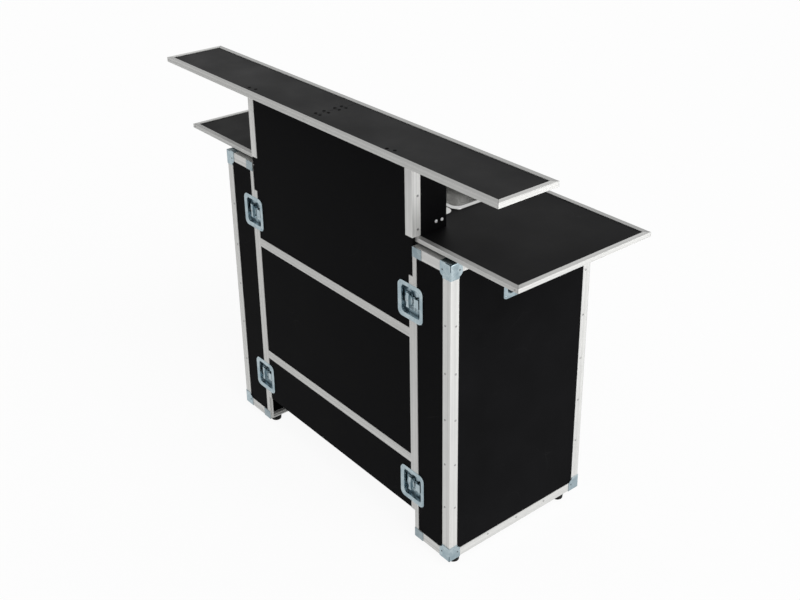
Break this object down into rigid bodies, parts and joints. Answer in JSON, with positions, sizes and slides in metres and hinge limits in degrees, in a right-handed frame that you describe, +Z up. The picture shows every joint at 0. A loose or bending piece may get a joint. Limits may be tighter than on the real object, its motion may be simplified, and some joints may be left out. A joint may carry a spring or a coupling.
{
  "type": "portable bar",
  "caption": "Portable bar made of a flight case: open case halves as pedestals, latched front panel, worktop with drop-in pans and a raised folding bar top",
  "frame": {"origin": "centre of the footprint, on the floor under the feet", "axes": "+X along the bar to the end on the guest's right, +Y from the guests' side to the server's side, +Z up"},
  "size_m": [1.454, 0.5634, 1.177],
  "materials": {
    "black_board": "birch plywood faced with black phenolic film, satin",
    "aluminium": "natural anodised, satin",
    "zinc": "bright zinc plated pressed steel",
    "stainless": "brushed stainless steel",
    "rubber": "moulded, matt"
  },
  "bodies": {
    "case": {"left_side_board": "black_board", "left_front_board": "black_board", "left_back_board": "black_board", "left_bottom_board": "black_board", "left_top_board": "black_board", "right_side_board": "black_board", "right_front_board": "black_board", "right_back_board": "black_board", "right_bottom_board": "black_board", "right_top_board": "black_board", "panel_lower_board": "black_board", "panel_middle_board": "black_board", "upper_board": "black_board", "left_support_board": "black_board", "right_support_board": "black_board", "worktop_left_board": "black_board", "worktop_right_board": "black_board", "worktop_battens": "black_board", "edge_angles": "aluminium", "left_closing_profile": "aluminium", "right_closing_profile": "aluminium", "panel_strips": "aluminium", "panel_left_profile": "aluminium", "panel_right_profile": "aluminium", "upper_angles": "aluminium", "worktop_edging": "aluminium", "corner_braces": "zinc", "closing_plates": "zinc", "handle_dishes": "zinc", "latch_dishes": "zinc", "keeper_dishes": "zinc", "worktop_hinges": "zinc", "rubber_feet": "rubber"},
    "key_front_left_lower": {"latch_key_front_left_lower": "zinc"},
    "hook_front_left_lower": {"latch_hook_front_left_lower": "zinc"},
    "key_front_left_upper": {"latch_key_front_left_upper": "zinc"},
    "hook_front_left_upper": {"latch_hook_front_left_upper": "zinc"},
    "key_front_right_lower": {"latch_key_front_right_lower": "zinc"},
    "hook_front_right_lower": {"latch_hook_front_right_lower": "zinc"},
    "key_front_right_upper": {"latch_key_front_right_upper": "zinc"},
    "hook_front_right_upper": {"latch_hook_front_right_upper": "zinc"},
    "key_back_left_lower": {"latch_key_back_left_lower": "zinc"},
    "hook_back_left_lower": {"latch_hook_back_left_lower": "zinc"},
    "key_back_left_upper": {"latch_key_back_left_upper": "zinc"},
    "hook_back_left_upper": {"latch_hook_back_left_upper": "zinc"},
    "left_handle": {"left_handle_bail": "zinc"},
    "right_handle": {"right_handle_bail": "zinc"},
    "pan_left_front_lift_out": {"pan_left_front": "stainless"},
    "pan_left_back_lift_out": {"pan_left_back": "stainless"},
    "pan_right_front_lift_out": {"pan_right_front": "stainless"},
    "pan_right_back_lift_out": {"pan_right_back": "stainless"},
    "bar_carrier": {"bar_hinge_pins": "zinc"},
    "bar_left_half": {"bar_left_board": "black_board", "bar_left_edging": "aluminium", "bar_left_hinge_leaves": "zinc", "bar_left_stop": "aluminium"},
    "bar_right_half": {"bar_right_board": "black_board", "bar_right_edging": "aluminium", "bar_right_hinge_leaves": "zinc", "bar_right_stop": "aluminium"}
  },
  "joints": [
    {"name": "key_turn_front_left_lower", "type": "hinge", "parent": "case", "child": "key_front_left_lower", "pos_m": [-0.3915, -0.22075, 0.188], "axis": [0, -1, 0], "range_deg": [0, 180]},
    {"name": "hook_slide_front_left_lower", "type": "slide", "parent": "case", "child": "hook_front_left_lower", "axis": [1, 0, 0], "range_m": [0, 0.006]},
    {"name": "key_turn_front_left_upper", "type": "hinge", "parent": "case", "child": "key_front_left_upper", "pos_m": [-0.3915, -0.22075, 0.762], "axis": [0, -1, 0], "range_deg": [0, 180]},
    {"name": "hook_slide_front_left_upper", "type": "slide", "parent": "case", "child": "hook_front_left_upper", "axis": [1, 0, 0], "range_m": [0, 0.006]},
    {"name": "key_turn_front_right_lower", "type": "hinge", "parent": "case", "child": "key_front_right_lower", "pos_m": [0.3435, -0.22075, 0.188], "axis": [0, -1, 0], "range_deg": [0, 180]},
    {"name": "hook_slide_front_right_lower", "type": "slide", "parent": "case", "child": "hook_front_right_lower", "axis": [1, 0, 0], "range_m": [0, 0.006]},
    {"name": "key_turn_front_right_upper", "type": "hinge", "parent": "case", "child": "key_front_right_upper", "pos_m": [0.3435, -0.22075, 0.762], "axis": [0, -1, 0], "range_deg": [0, 180]},
    {"name": "hook_slide_front_right_upper", "type": "slide", "parent": "case", "child": "hook_front_right_upper", "axis": [1, 0, 0], "range_m": [0, 0.006]},
    {"name": "key_turn_back_left_lower", "type": "hinge", "parent": "case", "child": "key_back_left_lower", "pos_m": [-0.3915, 0.27625, 0.188], "axis": [0, 1, 0], "range_deg": [0, 180]},
    {"name": "hook_slide_back_left_lower", "type": "slide", "parent": "case", "child": "hook_back_left_lower", "axis": [1, 0, 0], "range_m": [0, 0.006]},
    {"name": "key_turn_back_left_upper", "type": "hinge", "parent": "case", "child": "key_back_left_upper", "pos_m": [-0.3915, 0.27625, 0.762], "axis": [0, 1, 0], "range_deg": [0, 180]},
    {"name": "hook_slide_back_left_upper", "type": "slide", "parent": "case", "child": "hook_back_left_upper", "axis": [1, 0, 0], "range_m": [0, 0.006]},
    {"name": "left_handle_swing", "type": "hinge", "parent": "case", "child": "left_handle", "pos_m": [-0.5025, 0.02775, 0.845], "axis": [0, 1, 0], "range_deg": [0, 90]},
    {"name": "right_handle_swing", "type": "hinge", "parent": "case", "child": "right_handle", "pos_m": [0.5025, 0.02775, 0.845], "axis": [0, -1, 0], "range_deg": [0, 90]},
    {"name": "pan_left_front_lift", "type": "slide", "parent": "case", "child": "pan_left_front_lift_out", "axis": [0, 0, 1], "range_m": [0, 0.11]},
    {"name": "pan_left_back_lift", "type": "slide", "parent": "case", "child": "pan_left_back_lift_out", "axis": [0, 0, 1], "range_m": [0, 0.11]},
    {"name": "pan_right_front_lift", "type": "slide", "parent": "case", "child": "pan_right_front_lift_out", "axis": [0, 0, 1], "range_m": [0, 0.11]},
    {"name": "pan_right_back_lift", "type": "slide", "parent": "case", "child": "pan_right_back_lift_out", "axis": [0, 0, 1], "range_m": [0, 0.11]},
    {"name": "bar_lift", "type": "slide", "parent": "case", "child": "bar_carrier", "axis": [0, 0, 1], "range_m": [0, 0.87]},
    {"name": "bar_fold_left", "type": "hinge", "parent": "bar_carrier", "child": "bar_left_half", "pos_m": [0, -0.19325, 1.163], "axis": [0, -1, 0], "range_deg": [0, 80]},
    {"name": "bar_fold_right", "type": "hinge", "parent": "bar_carrier", "child": "bar_right_half", "pos_m": [0, -0.19325, 1.163], "axis": [0, 1, 0], "range_deg": [0, 80]}
  ],
  "couplings": [
    {"joint": "hook_slide_front_left_lower", "follows": "key_turn_front_left_lower", "m_per_rad": 0.0019098},
    {"joint": "hook_slide_front_left_upper", "follows": "key_turn_front_left_upper", "m_per_rad": 0.0019098},
    {"joint": "hook_slide_front_right_lower", "follows": "key_turn_front_right_lower", "m_per_rad": 0.0019098},
    {"joint": "hook_slide_front_right_upper", "follows": "key_turn_front_right_upper", "m_per_rad": 0.0019098},
    {"joint": "hook_slide_back_left_lower", "follows": "key_turn_back_left_lower", "m_per_rad": 0.0019098},
    {"joint": "hook_slide_back_left_upper", "follows": "key_turn_back_left_upper", "m_per_rad": 0.0019098},
    {"joint": "bar_fold_left", "follows": "bar_lift", "rad_per_m": 1.6},
    {"joint": "bar_fold_right", "follows": "bar_lift", "rad_per_m": 1.6}
  ]
}
